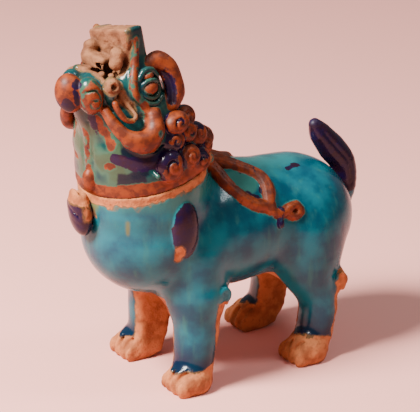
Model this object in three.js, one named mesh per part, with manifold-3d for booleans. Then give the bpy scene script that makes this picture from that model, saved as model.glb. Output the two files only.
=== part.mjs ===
// A glazed pottery beast on four legs: a hollow body with an open neck, and a hollow head that
// rests on the neck as its lid. Millimetres, +Z up. The beast faces -X and its left side is -Y.
// Each form is modelled like clay: rounded lumps are blended together into one distance field,
// the field's surface is meshed, and the mesh is then simplified to few faces.
import * as THREE from 'three';
import { mergeVertices } from 'three/addons/utils/BufferGeometryUtils.js';
import Module from 'manifold-3d';

const wasm = await Module();
wasm.setup();

// Driving dimensions
const WALL = 5;                 // thickness of the fired clay
const SEAT_GAP = 0.3;           // between the neck's rim and the lid that rests on it
const LENGTH_SHIFT = 6.8;       // moves the middle of the figure's length onto the origin
const NECK_X = -43.5;           // middle of the neck
const NECK_Z = 105.5;           // height of its rim there
const NECK_R = 31;              // outer radius of the rim
const NECK_LEAN = 10;           // degrees that the rim leans down towards the front
const HEAD_TURN = 10;           // degrees that the lid is turned, its face to the left side
const BORE_R = NECK_R - WALL;   // the neck's opening
const SMOKE_WAY = [-63, -2];    // middle of the upright hole from the head's hollow to the mouth
const SMOKE_R = 4.5;            // its radius
const LEG_GAP = 29;             // between the left legs and the right ones
const BODY_MESH = { cell: 1.5, faces: 5250 };
const HEAD_MESH = { cell: 1.1, faces: 3400 };

// Lumps of clay. Each has a distance function, and a sphere (middle, reach) that holds it.
const degrees = THREE.MathUtils.degToRad;

function turnOf([x, y, z]) {
  const turn = new THREE.Matrix4().makeRotationFromEuler(
    new THREE.Euler(degrees(x), degrees(y), degrees(z), 'ZYX'),
  );
  return turn.transpose().elements; // its transpose turns a point back into the lump's own axes
}

function ellipseDistance(u, v, w, a, b, c) {
  const near = Math.hypot(u / a, v / b, w / c);
  const steep = Math.hypot(u / (a * a), v / (b * b), w / (c * c));
  return steep < 1e-9 ? -Math.min(a, b, c) : (near * (near - 1)) / steep;
}

function ball(middle, [a, b, c], turn = [0, 0, 0]) {
  const e = turnOf(turn);
  const [mx, my, mz] = middle;
  const distance = (x, y, z) => {
    const dx = x - mx;
    const dy = y - my;
    const dz = z - mz;
    const u = e[0] * dx + e[4] * dy + e[8] * dz;
    const v = e[1] * dx + e[5] * dy + e[9] * dz;
    const w = e[2] * dx + e[6] * dy + e[10] * dz;
    return ellipseDistance(u, v, w, a, b, c);
  };
  return { distance, middle, reach: Math.max(a, b, c) };
}

function block(middle, [a, b, c], round, turn = [0, 0, 0]) {
  const e = turnOf(turn);
  const [mx, my, mz] = middle;
  const distance = (x, y, z) => {
    const dx = x - mx;
    const dy = y - my;
    const dz = z - mz;
    const u = Math.abs(e[0] * dx + e[4] * dy + e[8] * dz) - a + round;
    const v = Math.abs(e[1] * dx + e[5] * dy + e[9] * dz) - b + round;
    const w = Math.abs(e[2] * dx + e[6] * dy + e[10] * dz) - c + round;
    const outside = Math.hypot(Math.max(u, 0), Math.max(v, 0), Math.max(w, 0));
    return outside + Math.min(Math.max(u, v, w), 0) - round;
  };
  return { distance, middle, reach: Math.hypot(a, b, c) };
}

// A strap follows a smooth curve through the points. Its half-width lies along the direction
// `across`, its half-thickness square to that, and both run smoothly from knot to knot.
function strap(points, widths, depths, across = [0, 1, 0], steps = 3) {
  const curve = new THREE.CatmullRomCurve3(points.map((p) => new THREE.Vector3(...p)));
  const count = (points.length - 1) * steps;
  const line = curve.getPoints(count);
  const [ax, ay, az] = new THREE.Vector3(...across).normalize().toArray();
  const along = (values, t) => {
    const place = t * (values.length - 1);
    const k = Math.min(Math.floor(place), values.length - 2);
    return values[k] + (values[k + 1] - values[k]) * (place - k);
  };
  const pieces = line.slice(1).map((b, i) => {
    const a = line[i];
    const d = b.clone().sub(a);
    const [t0, t1] = [i / count, (i + 1) / count];
    return [a.x, a.y, a.z, d.x, d.y, d.z, d.lengthSq(),
      along(widths, t0), along(widths, t1), along(depths, t0), along(depths, t1)];
  });
  const distance = (x, y, z) => {
    let best = Infinity;
    for (const [px, py, pz, dx, dy, dz, length2, w0, w1, t0, t1] of pieces) {
      let ox = x - px;
      let oy = y - py;
      let oz = z - pz;
      const t = Math.min(Math.max((ox * dx + oy * dy + oz * dz) / length2, 0), 1);
      ox -= t * dx;
      oy -= t * dy;
      oz -= t * dz;
      const side = ox * ax + oy * ay + oz * az;
      const rest = Math.sqrt(Math.max(ox * ox + oy * oy + oz * oz - side * side, 0));
      const w = w0 + (w1 - w0) * t;
      const d = t0 + (t1 - t0) * t;
      best = Math.min(best, ellipseDistance(side, rest, 0, w, d, 1));
    }
    return best;
  };
  const bound = new THREE.Sphere().setFromPoints(line);
  const reach = bound.radius + Math.max(...widths, ...depths);
  return { distance, middle: bound.center.toArray(), reach };
}

// A strand is a strap with a round section.
const strand = (points, radii, steps) => strap(points, radii, radii, [0, 1, 0], steps);

// A column stands upright. Each station is [z, x, y, half-length along X, half-width along Y].
function column(stations) {
  const distance = (x, y, z) => {
    const top = stations.length - 1;
    let k = 0;
    while (k < top - 1 && z > stations[k + 1][0]) k += 1;
    const [from, to] = [stations[k], stations[k + 1]];
    const raw = Math.min(Math.max((z - from[0]) / (to[0] - from[0]), 0), 1);
    const t = raw * raw * (3 - 2 * raw);
    const [cx, cy, a, b] = [1, 2, 3, 4].map((i) => from[i] + (to[i] - from[i]) * t);
    const wall = ellipseDistance(x - cx, y - cy, 0, a, b, 1);
    const ends = Math.max(stations[0][0] - z, z - stations[top][0]);
    return Math.max(wall, ends);
  };
  const [low, high] = [stations[0], stations[stations.length - 1]];
  const middle = [1, 2, 0].map((i) => (low[i] + high[i]) / 2);
  const spread = Math.max(...stations.map((s) => Math.abs(s[1] - middle[0]) + Math.max(s[3], s[4])));
  return { distance, middle, reach: Math.hypot(spread, (high[0] - low[0]) / 2) };
}

// Both sides: a lump that is made at the left, where y is negative, and mirrored to the right.
function pair(lump) {
  const [x, y, z] = lump.middle;
  return {
    distance: (px, py, pz) => lump.distance(px, -Math.abs(py), pz),
    middle: [x, 0, z],
    reach: lump.reach + Math.abs(y),
  };
}

// The clay: lumps are added or cut in turn, each blended over a distance of its own.
class Clay {
  constructor() {
    this.steps = [];
  }

  add(blend, ...lumps) {
    for (const lump of lumps) this.steps.push({ ...lump, blend, sign: 1 });
    return this;
  }

  cut(blend, ...lumps) {
    for (const lump of lumps) this.steps.push({ ...lump, blend, sign: -1 });
    return this;
  }

  distance(x, y, z) {
    let d = 1e3;
    for (const { distance, middle, reach, blend, sign } of this.steps) {
      const gap = Math.hypot(x - middle[0], y - middle[1], z - middle[2]) - reach;
      if (gap > sign * d + blend + 1) continue;
      const next = distance(x, y, z);
      const [a, b] = [sign * d, next];
      const h = blend > 0 ? Math.max(blend - Math.abs(a - b), 0) / blend : 0;
      d = sign * (Math.min(a, b) - (h * h * blend) / 4);
    }
    return d;
  }
}

// Meshing the clay: each grid cell is six tetrahedra, so the surface is always closed.
const ODD = [[1, 2, 4], [2, 4, 1], [4, 1, 2], [2, 1, 4], [1, 4, 2], [4, 2, 1]];
const TETRAHEDRA = ODD.map(([i, j], n) => (n < 3 ? [0, i, i + j, 7] : [0, i + j, i, 7]));
const FIRST_IN = [[0, 1, 2, 3], [1, 0, 3, 2], [2, 3, 0, 1], [3, 2, 1, 0]];
const TWO_IN = {
  3: [0, 1, 2, 3], 12: [2, 3, 0, 1], 5: [0, 2, 3, 1], 9: [0, 3, 1, 2], 6: [1, 2, 0, 3], 10: [1, 3, 2, 0],
};

function meshOf(clay, low, high, cell) {
  const n = low.map((v, i) => Math.ceil((high[i] - v) / cell) + 1);
  const jump = [1, n[0], n[0] * n[1]];
  const field = new Float32Array(n[0] * n[1] * n[2]);
  const place = (node) => [
    low[0] + (node % n[0]) * cell,
    low[1] + (Math.floor(node / n[0]) % n[1]) * cell,
    low[2] + Math.floor(node / jump[2]) * cell,
  ];
  for (let node = 0; node < field.length; node += 1) {
    field[node] = clay.distance(...place(node)) || 1e-6;
  }
  const corners = [0, 1, 2, 3, 4, 5, 6, 7].map(
    (c) => (c & 1) * jump[0] + ((c >> 1) & 1) * jump[1] + (c >> 2) * jump[2],
  );
  const points = [];
  const faces = [];
  const known = new Map();
  const crossing = (a, b) => {
    const key = Math.min(a, b) * field.length + Math.max(a, b);
    if (!known.has(key)) {
      const t = Math.min(Math.max(field[a] / (field[a] - field[b]), 0.02), 0.98);
      const [p, q] = [place(a), place(b)];
      known.set(key, points.length / 3);
      points.push(...p.map((v, i) => v + (q[i] - v) * t));
    }
    return known.get(key);
  };
  const cutTetrahedron = (v) => {
    const inside = v.reduce((mask, node, i) => mask | (field[node] < 0 ? 1 << i : 0), 0);
    if (inside === 0 || inside === 15) return;
    const single = [1, 2, 4, 8].indexOf(inside);
    const lone = [14, 13, 11, 7].indexOf(inside);
    if (single >= 0 || lone >= 0) {
      const [a, b, c, d] = FIRST_IN[Math.max(single, lone)].map((i) => v[i]);
      const three = [crossing(a, b), crossing(a, c), crossing(a, d)];
      faces.push(...(single >= 0 ? three : three.reverse()));
      return;
    }
    const [a, b, c, d] = TWO_IN[inside].map((i) => v[i]);
    const four = [crossing(a, c), crossing(a, d), crossing(b, d), crossing(b, c)];
    faces.push(four[0], four[1], four[2], four[0], four[2], four[3]);
  };
  for (let z = 0; z < n[2] - 1; z += 1) {
    for (let y = 0; y < n[1] - 1; y += 1) {
      for (let x = 0; x < n[0] - 1; x += 1) {
        const node = x + y * jump[1] + z * jump[2];
        const full = corners.filter((c) => field[node + c] < 0).length;
        if (full === 0 || full === 8) continue;
        for (const t of TETRAHEDRA) cutTetrahedron(t.map((c) => node + corners[c]));
      }
    }
  }
  return { points, faces };
}

// Simplifying: the edge whose loss changes the surface least is closed up first.
class Heap {
  constructor() {
    this.items = [];
  }

  push(item) {
    const heap = this.items;
    let i = heap.length;
    heap.push(item);
    while (i > 0 && heap[(i - 1) >> 1].cost > item.cost) {
      heap[i] = heap[(i - 1) >> 1];
      i = (i - 1) >> 1;
    }
    heap[i] = item;
  }

  pop() {
    const heap = this.items;
    const top = heap[0];
    const item = heap.pop();
    if (!heap.length) return top;
    let i = 0;
    for (let next = 1; next < heap.length; next = 2 * i + 1) {
      if (next + 1 < heap.length && heap[next + 1].cost < heap[next].cost) next += 1;
      if (heap[next].cost >= item.cost) break;
      heap[i] = heap[next];
      i = next;
    }
    heap[i] = item;
    return top;
  }
}

function simplify({ points, faces }, wanted) {
  const count = points.length / 3;
  const at = (v) => new THREE.Vector3(points[3 * v], points[3 * v + 1], points[3 * v + 2]);
  const spots = Array.from({ length: count }, (_, v) => at(v));
  const error = Array.from({ length: count }, () => new Float64Array(10));
  const touching = Array.from({ length: count }, () => new Set());
  const age = new Uint32Array(count);
  const triangles = [];
  const planeOf = (a, b, c) => {
    const normal = b.clone().sub(a).cross(c.clone().sub(a));
    const area = normal.length();
    return [normal.divideScalar(area || 1), area];
  };
  for (let i = 0; i < faces.length; i += 3) {
    const corners = [faces[i], faces[i + 1], faces[i + 2]];
    const [normal, area] = planeOf(...corners.map((v) => spots[v]));
    const plane = [normal.x, normal.y, normal.z, -normal.dot(spots[corners[0]])];
    for (const v of corners) {
      touching[v].add(triangles.length);
      let k = 0;
      for (let r = 0; r < 4; r += 1) {
        for (let c = r; c < 4; c += 1, k += 1) error[v][k] += plane[r] * plane[c] * area;
      }
    }
    triangles.push(corners);
  }
  const costAt = (q, { x, y, z }) => q[0] * x * x + q[4] * y * y + q[7] * z * z + q[9]
    + 2 * (q[1] * x * y + q[2] * x * z + q[3] * x + q[5] * y * z + q[6] * y + q[8] * z);
  const flattest = (q, a, b) => {
    const m = new THREE.Matrix3().set(q[0], q[1], q[2], q[1], q[4], q[5], q[2], q[5], q[7]);
    const middle = spots[a].clone().add(spots[b]).multiplyScalar(0.5);
    const size = Math.max(q[0], q[4], q[7]);
    if (Math.abs(m.determinant()) > 1e-4 * size ** 3) {
      const best = new THREE.Vector3(-q[3], -q[6], -q[8]).applyMatrix3(m.invert());
      if (best.distanceTo(middle) < 1.5 * spots[a].distanceTo(spots[b])) return best;
    }
    return middle;
  };
  const heap = new Heap();
  const offer = (a, b) => {
    const q = error[a].map((v, i) => v + error[b][i]);
    const spot = flattest(q, a, b);
    const long = 1e-4 * spots[a].distanceToSquared(spots[b]);
    heap.push({ a, b, spot, cost: costAt(q, spot) + long, ages: age[a] + age[b] });
  };
  const neighbours = (v) => {
    const found = new Set([...touching[v]].flatMap((t) => triangles[t]));
    found.delete(v);
    return found;
  };
  const turnsOver = (v, other, spot) => [...touching[v]].some((t) => {
    if (triangles[t].includes(other)) return false;
    const corners = triangles[t].map((u) => spots[u]);
    const [before] = planeOf(...corners);
    const [after, area] = planeOf(...triangles[t].map((u) => (u === v ? spot : spots[u])));
    return area < 1e-4 || before.dot(after) < 0.25;
  });
  for (let v = 0; v < count; v += 1) {
    for (const u of neighbours(v)) if (u > v) offer(v, u);
  }
  let left = triangles.length;
  while (left > wanted && heap.items.length) {
    const { a, b, spot, ages } = heap.pop();
    if (ages !== age[a] + age[b] || !touching[a].size || !touching[b].size) continue;
    const around = neighbours(a);
    if (!around.has(b)) continue;
    const shared = [...neighbours(b)].filter((u) => around.has(u));
    if (shared.length !== 2 || turnsOver(a, b, spot) || turnsOver(b, a, spot)) continue;
    for (const t of [...touching[b]]) {
      if (triangles[t].includes(a)) {
        for (const u of triangles[t]) touching[u].delete(t);
        left -= 1;
      } else {
        triangles[t] = triangles[t].map((u) => (u === b ? a : u));
        touching[a].add(t);
      }
    }
    touching[b].clear();
    spots[a] = spot;
    error[a] = error[a].map((v, i) => v + error[b][i]);
    age[a] += count;
    for (const u of neighbours(a)) offer(a, u);
  }
  const kept = triangles.filter((corners, t) => touching[corners[0]].has(t));
  const number = new Map();
  const out = [];
  const index = kept.flat().map((v) => {
    if (!number.has(v)) {
      number.set(v, number.size);
      out.push(...spots[v].toArray());
    }
    return number.get(v);
  });
  return { points: out, faces: index };
}

// Closed solids, for the cuts that need true planes and true walls.
const solidOf = ({ points, faces }) => new wasm.Manifold(
  new wasm.Mesh({ numProp: 3, vertProperties: new Float32Array(points), triVerts: new Uint32Array(faces) }),
);

function solidFrom(geometry, matrix = new THREE.Matrix4()) {
  const bare = geometry.clone().applyMatrix4(matrix);
  bare.deleteAttribute('normal');
  bare.deleteAttribute('uv');
  const merged = mergeVertices(bare, 1e-4);
  return solidOf({ points: merged.attributes.position.array, faces: merged.index.array });
}

function geometryOf(solid) {
  const { numProp, vertProperties, triVerts } = solid.getMesh();
  const points = new Float32Array((vertProperties.length / numProp) * 3);
  for (let v = 0; v < points.length / 3; v += 1) {
    points.set(vertProperties.subarray(v * numProp, v * numProp + 3), v * 3);
  }
  const geometry = new THREE.BufferGeometry();
  geometry.setAttribute('position', new THREE.BufferAttribute(points, 3));
  geometry.setIndex(new THREE.BufferAttribute(new Uint32Array(triVerts), 1));
  geometry.computeVertexNormals();
  return geometry;
}

// The neck's own axes: its rim lies on z = 0 there, with +z out of the neck. The lid sits on it,
// turned a little to the beast's left.
const neckFrame = new THREE.Matrix4()
  .makeTranslation(NECK_X, 0, NECK_Z)
  .multiply(new THREE.Matrix4().makeRotationY(degrees(-NECK_LEAN)));
const headFrame = neckFrame.clone().multiply(new THREE.Matrix4().makeRotationZ(degrees(HEAD_TURN)));

// An upright cylinder from one height to another.
function drum(radius, from, to, sides = 40) {
  const cylinder = new THREE.CylinderGeometry(radius, radius, to - from, sides, 1);
  return solidFrom(cylinder.rotateX(Math.PI / 2).translate(0, 0, (from + to) / 2));
}

function hollow(middle, radii, slices = 20, rings = 10) {
  const sphere = new THREE.SphereGeometry(1, slices, rings).rotateX(Math.PI / 2);
  return solidFrom(sphere.scale(...radii).translate(...middle));
}

const moved = (solid, matrix) => solid.transform(matrix.elements);

// The body's main masses: [middle, radii]. The hollow inside follows them at the wall's depth.
const CHEST = [[-41, 0, 75], [30.5, 31, 29]];
const BARREL = [[-2, 0, 70], [58, 31, 29.5]];
const RUMP = [[37, 0, 66.5], [32, 31.5, 29]];

function trunk(clay) {
  clay.add(0, ball(...BARREL));
  clay.add(6, ball(...CHEST), ball(...RUMP));
  clay.add(6, column([
    [66, NECK_X + 5, 0, 20, 20], [92, NECK_X + 1, 0, 30, 30.5], [114, NECK_X - 1, 0, NECK_R, NECK_R],
  ]));
}

// The hollow in the trunk: a lathe along the line from the chest's middle to the rump's, as wide
// at each place as the widest of the masses there, less the wall.
function trunkHollow(rings = 10, sides = 26) {
  const reach = [CHEST, RUMP].map(([[x], [a]], side) => x + (2 * side - 1) * (a - WALL));
  const widthAt = (x) => Math.max(...[CHEST, BARREL, RUMP].map(([[middle], [a, b]]) => {
    const part = (x - middle) / (a - WALL);
    return (b - WALL) * Math.sqrt(Math.max(1 - part * part, 0));
  }));
  const profile = Array.from({ length: rings + 1 }, (_, i) => {
    const x = reach[0] + ((1 - Math.cos((Math.PI * i) / rings)) / 2) * (reach[1] - reach[0]);
    return new THREE.Vector2(i % rings ? widthAt(x) : 0, x);
  });
  const lathe = new THREE.LatheGeometry(profile, sides).rotateZ(-Math.PI / 2);
  const [[x0, , z0], [x1, , z1]] = [CHEST[0], RUMP[0]];
  const slope = (z1 - z0) / (x1 - x0);
  lathe.scale(1, 1, (BARREL[1][2] - WALL) / (BARREL[1][1] - WALL));
  lathe.rotateY(-Math.atan(slope)).translate(0, 0, z0 - slope * x0);
  return solidFrom(lathe);
}

// A foot points forward and has grooves between its toes.
function foot(clay, x) {
  clay.add(4, pair(ball([x, -24.5, 5], [11.5, 10.5, 8.5])));
  for (const y of [-28.5, -21.5]) {
    clay.cut(2, pair(strand([[x - 15, y, 1], [x - 11, y, 8], [x - 4, y, 13]], [1.8, 1.8, 1.2])));
  }
}

function frontLeg(clay) {
  clay.add(7, pair(column([
    [2, -31, -21, 8.5, 10.5], [14, -28, -20.5, 9.2, 11.5], [30, -26.5, -20, 10.8, 12.5],
    [46, -25.5, -19, 13.5, 15], [62, -26, -13, 12, 12],
  ])));
  clay.add(1, pair(ball([-18, -30, 47], [4, 3.5, 6])));
  foot(clay, -33.5);
}

function hindLeg(clay) {
  clay.add(6, pair(ball([37, -18, 54], [17, 15, 24], [0, -8, 0])));
  clay.add(6, pair(column([
    [2, 35, -21, 8.5, 10.5], [12, 40.5, -20.5, 8.5, 11], [26, 42.5, -20, 9, 11.5], [48, 38, -17, 10, 12],
  ])));
  clay.add(3, pair(ball([48.5, -22, 38], [4.5, 9, 8])));
  clay.add(1, pair(ball([48, -29, 40], [4, 3.5, 6])));
  foot(clay, 32.5);
}

// The legs' inner sides are flat, one way through between the left ones and the right ones.
function innerSides(clay) {
  clay.cut(3, block([0, 0, 17], [80, LEG_GAP / 2, 20.5], 4));
}

// The tail is a flat flame that stands up from the rump and leans forward.
function tail(clay) {
  clay.add(3, strap(
    [[66, 0, 66], [71.5, 0, 79], [68, 0, 91], [60, 0, 100], [53, 0, 109.5]],
    [3.5, 4.5, 6, 5.5, 1.5], [6, 6, 6.5, 5.5, 2.5], [0.7, 0, 0.7], 3,
  ));
}

// Leaf pendants hang from the collar, at the front and on both sides.
function pendants(clay) {
  clay.add(1, ball([-76, 1, 91], [4.5, 8.5, 12.5], [0, -8, 0]));
  clay.add(1, pair(ball([-38, -30, 84], [7.5, 3.5, 13.5], [0, 0, 6])));
}

// A bow at the nape: each side has a loop of two strands and two short ends.
function bow(clay) {
  clay.add(1, pair(strand([
    [-12, -1, 105], [-3, -2, 101.5], [7, -4, 99.5], [14, -9, 97], [15.5, -18, 92], [18, -23.5, 86.5],
    [23, -26.5, 81.5],
  ], [3.5, 3, 2.5, 2.3, 2.2, 2.2, 2.2])));
  clay.add(1, pair(strand([
    [-12, -2, 104], [-8, -10, 99.5], [-7, -18, 94], [-3, -24, 88.5], [3, -26, 86], [9, -26, 85], [14, -22, 88.5],
  ], [3.5, 2.5, 2.2, 2.2, 2.2, 2.2, 2])));
  clay.add(0.5, pair(strand([[22, -27, 82], [27, -26.5, 82], [28, -28, 78.5], [24, -28.5, 76.5], [20.5, -28, 79]],
    [2, 1.8, 1.8, 1.8, 1.8])));
  clay.add(0.5, pair(strand([[9, -26.5, 84.5], [14, -28, 80.5], [16, -29.5, 75]], [2, 2, 2.2])));
}

function makeBody() {
  const clay = new Clay();
  trunk(clay);
  frontLeg(clay);
  hindLeg(clay);
  innerSides(clay);
  tail(clay);
  pendants(clay);
  bow(clay);
  const rough = meshOf(clay, [-90, -45, -6], [90, 45, 128], BODY_MESH.cell);
  const outside = solidOf(simplify(rough, BODY_MESH.faces));
  const floor = solidFrom(new THREE.BoxGeometry(300, 200, 40).translate(0, 0, -20));
  const above = moved(drum(NECK_R + 2, 0, 30), neckFrame);
  const inside = trunkHollow().add(moved(drum(BORE_R, -34, 12, 32), neckFrame));
  return outside.subtract(floor).subtract(above).subtract(inside);
}

// The head, in its own axes: z = 0 is the rim that it rests on, and it looks up along -x.
function skull(clay) {
  clay.add(0, column([[-6, 0, 0, 31, 31], [6, 0, 0, 30, 30], [18, -1, 0, 27.5, 28], [36, -2, 0, 19, 21]]));
  clay.add(8, ball([-3, 0, 26], [22, 23, 24]));
  clay.add(4, ball([19, 0, 5.5], [16, 16, 10.5]));
}

function jaws(clay) {
  clay.add(6, ball([-17, 0, 42], [12, 12.5, 15.5]));
  clay.add(1.5, ball([-32, 0, 52.3], [6.5, 6.5, 8.9]));
  clay.add(1.5, ball([-26.4, -7.5, 50.3], [6, 6, 9.5]));
  clay.add(1.5, ball([-24.3, 7.3, 50], [5.5, 5.5, 9]));
  clay.add(6, ball([2, 0, 45], [10, 13, 12]));
  clay.add(3, block([-1, 0, 60], [5.6, 14, 17], 4));
  clay.cut(1.5, block([0, 0, 82.6], [14, 22, 10], 1, [-12, 10, 0]));
  clay.add(6, pair(ball([-4, -11, 45], [12, 9, 13])));
}

// The mouth gapes between the upright palate and the lower jaw. Its side is closed by the cheek,
// which has a small pit and, at the corner of the lips, a slot.
function mouth(clay) {
  clay.cut(2, block([-12, 0, 67], [5.5, 20, 10], 2));
  clay.cut(2, block([-12, 0, 58], [4.5, 11, 9], 2));
  clay.add(2, pair(ball([-10, -9, 61], [6, 3.6, 4.2])));
  clay.cut(1, pair(strap([[-17, -21, 50], [-16, -22.5, 44], [-16, -23.5, 38]], [2, 2.5, 2.2], [3.5, 4, 4])));
  clay.add(1, pair(strand([
    [-8, -13.5, 62], [-12, -16.5, 54], [-12.5, -19, 44], [-14, -20.5, 38.5], [-18, -19.5, 39.5],
    [-21, -17, 45], [-22.5, -14.5, 50],
  ], Array(7).fill(1.5))));
  clay.cut(0.5, pair(ball([-18.4, -16, 53], [1.6, 2.5, 1.6])));
}

function face(clay) {
  clay.add(2, pair(strand([
    [-22.5, -11, 42], [-21.5, -14.5, 37], [-18, -19.5, 30], [-11, -23, 24], [-3, -22.5, 27], [0, -20.5, 34],
  ], [3, 4.5, 5.5, 5.5, 5.5, 4])));
  clay.add(1, pair(strand([[-22.5, -8, 38], [-24, -10, 32], [-25.5, -13, 22]], [2.5, 3.5, 2])));
  clay.add(1, strand([[-24, 0, 40], [-26, 0, 25], [-28.3, 0, 10]], [1.8, 1.8, 1.8]));
  clay.add(1, ball([-30, 0, 6.5], [3, 3, 5]));
  clay.add(1, pair(ball([-2.3, -18.5, 46.5], [5, 3.5, 4.5])));
  clay.add(1, pair(ball([-1.5, -18, 52], [3.5, 2.5, 2])));
}

function mane(clay) {
  clay.add(1.5, pair(strand([[5, -13, 54], [10, -14, 52.5], [12, -15.5, 47], [12, -17, 40], [7.5, -18.5, 34]],
    [3.5, 4.5, 4.5, 5, 4])));
  clay.add(1, pair(ball([5, -24.5, 27.5], [7, 6, 5.5])));
  clay.add(1, pair(ball([6, -25.5, 19], [6, 5.5, 6])));
  clay.add(1, pair(ball([-4, -28.5, 9], [7.5, 5, 8.5])));
  clay.add(1, pair(ball([11.5, -26, 4.5], [7.5, 5.5, 7])));
  clay.add(1, pair(ball([18, -18, 14], [7, 7, 6])));
  clay.add(1, pair(ball([30, -8, 4.5], [7, 7, 6])));
}

function makeHead() {
  const clay = new Clay();
  skull(clay);
  jaws(clay);
  mouth(clay);
  face(clay);
  mane(clay);
  const rough = meshOf(clay, [-44, -38, -8], [48, 38, 84], HEAD_MESH.cell);
  const outside = solidOf(simplify(rough, HEAD_MESH.faces));
  const below = drum(60, -20, SEAT_GAP);
  const inside = drum(BORE_R, -5, 9, 32).add(hollow([0, 0, 20], [20, 20, 20]));
  const [x, y] = SMOKE_WAY;
  const smokeWay = moved(drum(SMOKE_R, 130, 162, 12), new THREE.Matrix4().makeTranslation(x, y, 0));
  return moved(outside.subtract(below).subtract(inside), headFrame).subtract(smokeWay);
}

const FINISHES = {
  body: { color: 0x2f8c98, roughness: 0.25, metalness: 0 },
  head_cover: { color: 0x9a6547, roughness: 0.35, metalness: 0 },
};

function piece(name, solid) {
  const mesh = new THREE.Mesh(geometryOf(solid), new THREE.MeshStandardMaterial(FINISHES[name]));
  mesh.name = name;
  return mesh;
}

const figure = new THREE.Group();
figure.add(piece('body', makeBody()), piece('head_cover', makeHead()));
figure.position.x = LENGTH_SHIFT;

export default figure;
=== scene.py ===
"""A glazed pottery beast on four legs, and its head, which rests on the neck as a lid.

Lengths are millimetres until a mesh is made. The body is modelled with the middle of its trunk
near x = 0; the head has axes of its own, with z = 0 at the rim that it rests on.
"""
import math

import bpy
import numpy as np
from mathutils import Euler, Matrix, Vector


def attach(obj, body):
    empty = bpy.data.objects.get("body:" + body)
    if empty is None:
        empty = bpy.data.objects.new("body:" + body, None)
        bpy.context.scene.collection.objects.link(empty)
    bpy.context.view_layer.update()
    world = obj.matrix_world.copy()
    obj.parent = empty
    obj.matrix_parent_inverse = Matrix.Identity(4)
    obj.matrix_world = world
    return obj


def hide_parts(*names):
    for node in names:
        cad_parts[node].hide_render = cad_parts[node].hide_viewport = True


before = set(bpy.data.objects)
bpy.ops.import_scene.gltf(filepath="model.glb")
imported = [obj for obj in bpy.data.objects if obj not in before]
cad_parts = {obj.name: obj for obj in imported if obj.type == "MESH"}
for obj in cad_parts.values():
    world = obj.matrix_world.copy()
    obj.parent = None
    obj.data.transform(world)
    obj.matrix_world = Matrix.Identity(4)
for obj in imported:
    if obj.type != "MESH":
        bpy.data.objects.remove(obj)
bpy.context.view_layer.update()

# Driving dimensions, as in the solids
MM = 0.001
LENGTH_SHIFT = 6.8              # moves the middle of the figure's length onto the origin
WALL = 5.0                      # thickness of the fired clay
SEAT_GAP = 0.3                  # between the neck's rim and the lid that rests on it
NECK_X = -43.5                  # middle of the neck
NECK_Z = 105.5                  # height of its rim there
NECK_R = 31.0                   # outer radius of the rim
NECK_LEAN = 10.0                # degrees that the rim leans down towards the front
HEAD_TURN = 10.0                # degrees that the lid is turned, its face to the left side
BORE_R = NECK_R - WALL          # the neck's opening
LEG_GAP = 29.0                  # between the left legs and the right ones
SMOKE_WAY = (-63.0, -2.0)       # middle of the upright hole from the head's hollow to the mouth
SMOKE_R = 4.5                   # its radius

# Fineness of the two meshes: distance between grid points
BODY_CELL = 0.86
HEAD_CELL = 0.58
FAR = 10.0                      # distances are kept only this close to the surface


# Lumps of clay: each has a distance function and the box that holds it
class Lump:
    def __init__(self, distance, low, high):
        self.distance = distance
        self.low = np.array(low, float)
        self.high = np.array(high, float)


def ellipse_distance(u, v, w, a, b, c):
    near = np.sqrt((u / a) ** 2 + (v / b) ** 2 + (w / c) ** 2)
    steep = np.sqrt((u / a**2) ** 2 + (v / b**2) ** 2 + (w / c**2) ** 2)
    return near * (near - 1) / np.maximum(steep, 1e-9)


def turn_of(turn):
    return np.array(Euler([math.radians(t) for t in turn]).to_matrix())


def own_axes(middle, turn):
    """The function that gives a point in a lump's own axes."""
    axes = turn_of(turn)

    def inside(x, y, z):
        d = (x - middle[0], y - middle[1], z - middle[2])
        return [axes[0, k] * d[0] + axes[1, k] * d[1] + axes[2, k] * d[2] for k in range(3)]

    return inside


def ball(middle, radii, turn=(0, 0, 0)):
    inside = own_axes(middle, turn)
    reach = np.sqrt(((turn_of(turn) * radii) ** 2).sum(1))
    return Lump(
        lambda x, y, z: ellipse_distance(*inside(x, y, z), *radii),
        np.array(middle) - reach, np.array(middle) + reach,
    )


def block(middle, half, edge, turn=(0, 0, 0)):
    inside = own_axes(middle, turn)
    reach = np.abs(turn_of(turn)) @ np.array(half, float)

    def distance(x, y, z):
        u, v, w = (abs(p) - h + edge for p, h in zip(inside(x, y, z), half))
        outside = np.sqrt(np.maximum(u, 0) ** 2 + np.maximum(v, 0) ** 2 + np.maximum(w, 0) ** 2)
        return outside + np.minimum(np.maximum(np.maximum(u, v), w), 0) - edge

    return Lump(distance, np.array(middle) - reach, np.array(middle) + reach)


def smooth_line(points, steps):
    """A curve through the points, as a row of short straight pieces."""
    p = np.array(points, float)
    p = np.vstack([2 * p[0] - p[1], p, 2 * p[-1] - p[-2]])
    t = np.linspace(0, 1, steps, endpoint=False)[:, None]
    rows = []
    for a, b, c, d in zip(p, p[1:], p[2:], p[3:]):
        rows.append(b + 0.5 * t * (c - a + t * (2 * a - 5 * b + 4 * c - d + t * (3 * (b - c) + d - a))))
    return np.vstack([*rows, p[-2]])


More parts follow.
